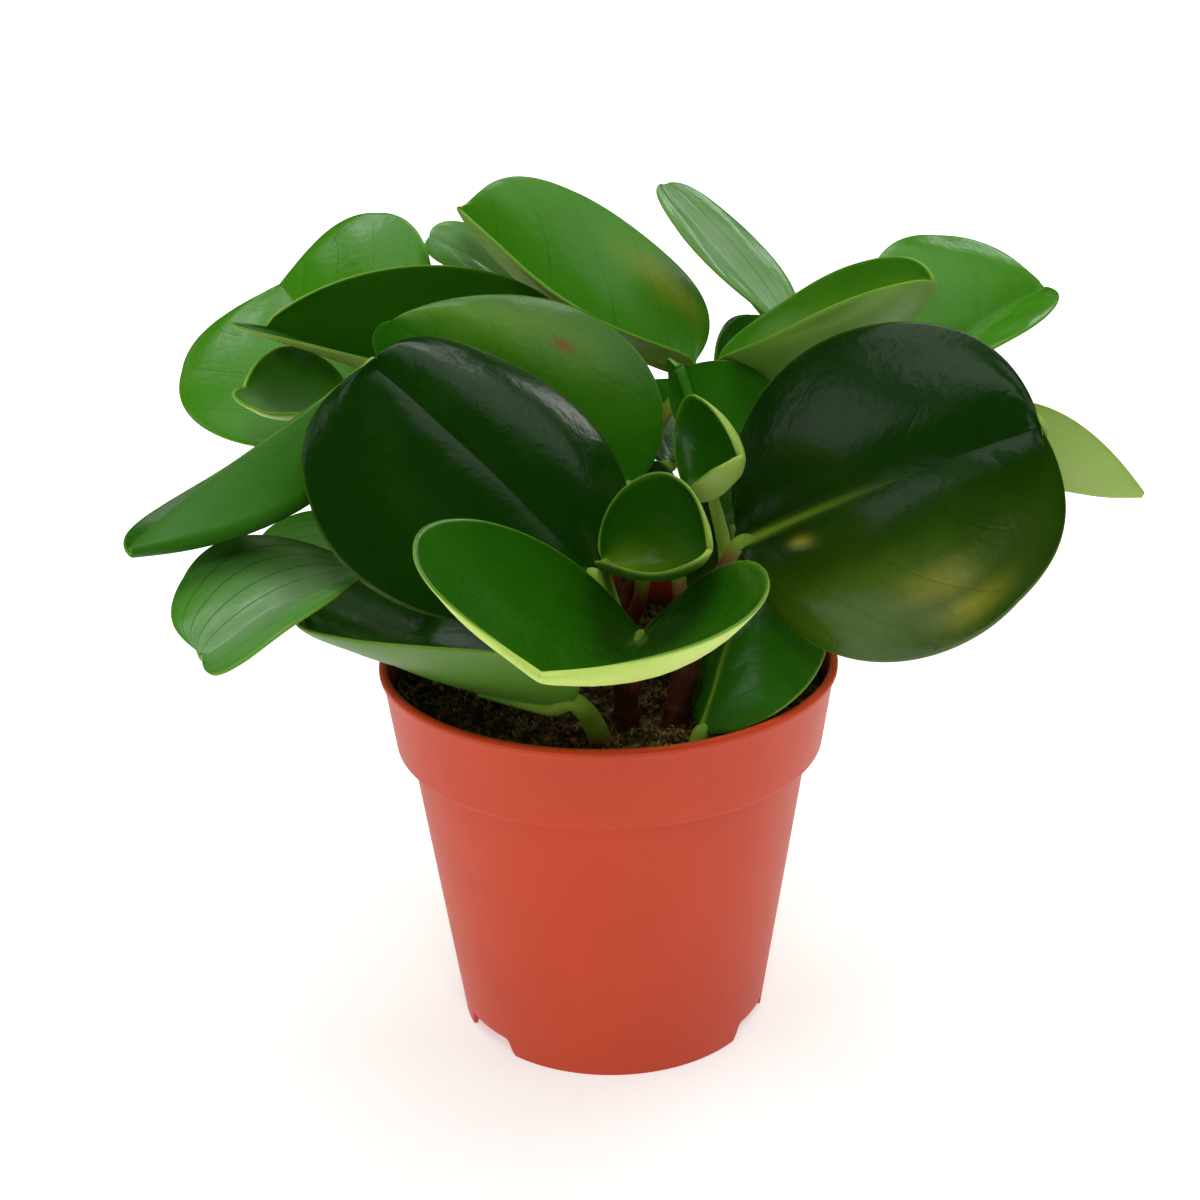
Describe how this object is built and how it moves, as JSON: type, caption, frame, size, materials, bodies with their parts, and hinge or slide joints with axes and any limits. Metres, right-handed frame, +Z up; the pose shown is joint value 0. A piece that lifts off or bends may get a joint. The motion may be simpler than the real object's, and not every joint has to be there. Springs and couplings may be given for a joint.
{
  "type": "potted peperomia",
  "caption": "Peperomia houseplant with fleshy, glossy, rounded dark green leaves on short petioles, growing from peat soil in a tapered terracotta-coloured plastic nursery pot",
  "frame": {"origin": "centre of the flat underside of the pot, on the surface that it stands on", "axes": "+Z up, -Y towards the viewer, the plant's front in the picture, +X to the viewer's right"},
  "size_m": [0.2561, 0.2408, 0.2088],
  "materials": {
    "pot_plastic": "satin",
    "peat": "matte",
    "stem_skin": "matte",
    "leaf_skin": "gloss"
  },
  "bodies": {
    "root": {"pot": "pot_plastic", "soil": "peat", "stem_front": "stem_skin", "stem_front_right": "stem_skin", "stem_right": "stem_skin", "stem_middle": "stem_skin", "stem_left": "stem_skin", "leaf_01_front_left": "leaf_skin", "leaf_02_front_low": "leaf_skin", "leaf_03_front_right": "leaf_skin", "leaf_04_young_front": "leaf_skin", "leaf_05_young_right": "leaf_skin", "leaf_06_middle_left": "leaf_skin", "leaf_07_upper_left": "leaf_skin", "leaf_08_far_left": "leaf_skin", "leaf_09_young_left": "leaf_skin", "leaf_10_left_spoon": "leaf_skin", "leaf_11_left_low": "leaf_skin", "leaf_12_left_under": "leaf_skin", "leaf_13_front_rim": "leaf_skin", "leaf_14_soil_right": "leaf_skin", "leaf_15_top_back": "leaf_skin", "leaf_16_young_top": "leaf_skin", "leaf_17_top_right": "leaf_skin", "leaf_18_right_upper": "leaf_skin", "leaf_19_far_right": "leaf_skin", "leaf_20_right_edge": "leaf_skin", "leaf_21_middle_upright": "leaf_skin", "leaf_22_young_back": "leaf_skin", "leaf_23_inner_dark": "leaf_skin", "leaf_24_inner_small": "leaf_skin", "leaf_25_back_high": "leaf_skin", "leaf_26_back_left": "leaf_skin", "leaf_27_back_low": "leaf_skin", "leaf_28_back_right": "leaf_skin", "leaf_29_back_far_left": "leaf_skin", "leaf_30_right_under": "leaf_skin"}
  },
  "joints": []
}
